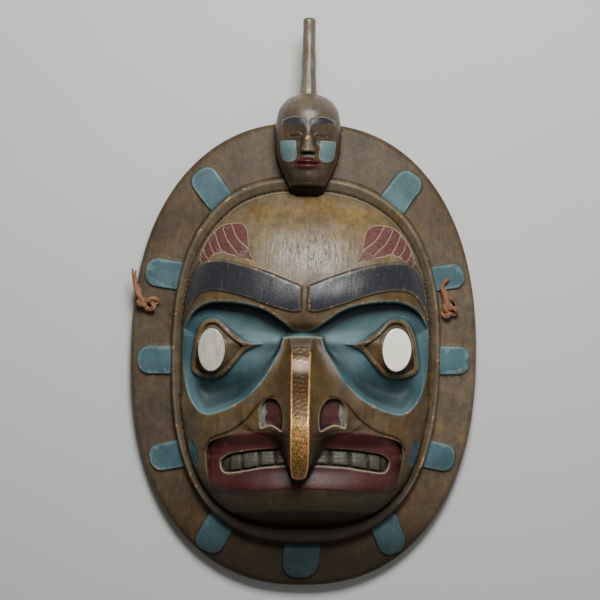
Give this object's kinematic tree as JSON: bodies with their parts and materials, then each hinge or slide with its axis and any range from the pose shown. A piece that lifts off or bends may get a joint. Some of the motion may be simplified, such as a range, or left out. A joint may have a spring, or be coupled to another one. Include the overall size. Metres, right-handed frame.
{
  "type": "decorative mask",
  "caption": "Carved and painted wooden bird mask with an oval halo of petals, hooked beak, shell eyes and a small crest head with a spike.",
  "frame": {"origin": "middle of the footprint, on the surface that the mask's back lies on", "axes": "+Z out of the face, +Y towards the crest head, +X to the right of someone looking at the face"},
  "size_m": [0.247, 0.4022, 0.0931],
  "materials": {
    "carved_wood": "satin",
    "copper_sheet": "worn",
    "shell_inlay": "gloss",
    "twisted_tie": "matte"
  },
  "bodies": {
    "root": {"mask_body": "carved_wood", "crest_head": "carved_wood", "beak_strip": "copper_sheet", "eye_inlay_left": "shell_inlay", "eye_inlay_right": "shell_inlay", "tie_thong": "twisted_tie", "tie_knot_left": "twisted_tie", "tie_knot_right": "twisted_tie"}
  },
  "joints": []
}
